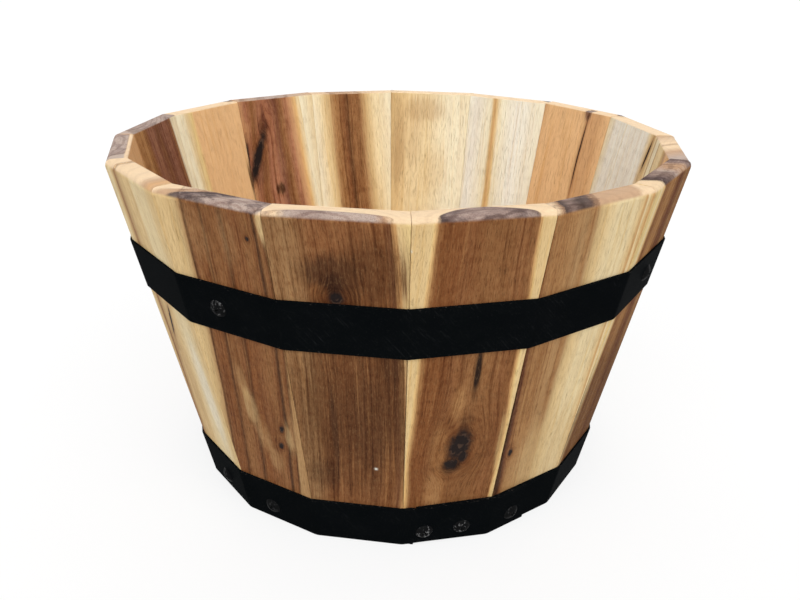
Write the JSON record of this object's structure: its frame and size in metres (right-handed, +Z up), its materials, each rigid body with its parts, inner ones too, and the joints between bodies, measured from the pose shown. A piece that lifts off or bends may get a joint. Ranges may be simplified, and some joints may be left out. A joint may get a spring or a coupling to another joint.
{
  "type": "wooden barrel planter",
  "caption": "Open-topped tapered barrel planter of mitred acacia staves, with a boarded floor and black steel hoops screwed on.",
  "frame": {"origin": "centre of the ring that the stave feet stand on, at ground level", "axes": "+Z up along the barrel's axis; one seam between two staves, the first seam of the picture's front, faces -Y"},
  "size_m": [0.4476, 0.4476, 0.27],
  "materials": {
    "red_brown_acacia": "oiled, planed acacia heartwood",
    "brown_acacia": "oiled, planed acacia heartwood",
    "mixed_acacia": "oiled, planed acacia with heartwood and sapwood in one board",
    "pale_acacia": "oiled, planed acacia sapwood",
    "floor_wood": "sawn acacia, no finish",
    "black_steel": "satin black paint, lightly scuffed",
    "screw_steel": "blackened, worn bright on the edges",
    "zinc_steel": "zinc plated"
  },
  "bodies": {
    "root": {"stave_01": "red_brown_acacia", "stave_02": "mixed_acacia", "stave_03": "brown_acacia", "stave_04": "mixed_acacia", "stave_05": "pale_acacia", "stave_06": "brown_acacia", "stave_07": "pale_acacia", "stave_08": "mixed_acacia", "stave_09": "mixed_acacia", "stave_10": "red_brown_acacia", "stave_11": "mixed_acacia", "stave_12": "red_brown_acacia", "stave_13": "brown_acacia", "stave_14": "pale_acacia", "stave_15": "mixed_acacia", "stave_16": "brown_acacia", "floor_board_1": "floor_wood", "floor_board_2": "floor_wood", "floor_board_3": "floor_wood", "floor_board_4": "floor_wood", "floor_board_5": "floor_wood", "floor_batten_front": "floor_wood", "floor_batten_rear": "floor_wood", "batten_screws": "zinc_steel", "upper_hoop": "black_steel", "lower_hoop": "black_steel", "upper_hoop_screws": "screw_steel", "lower_hoop_screws": "screw_steel"}
  },
  "joints": []
}
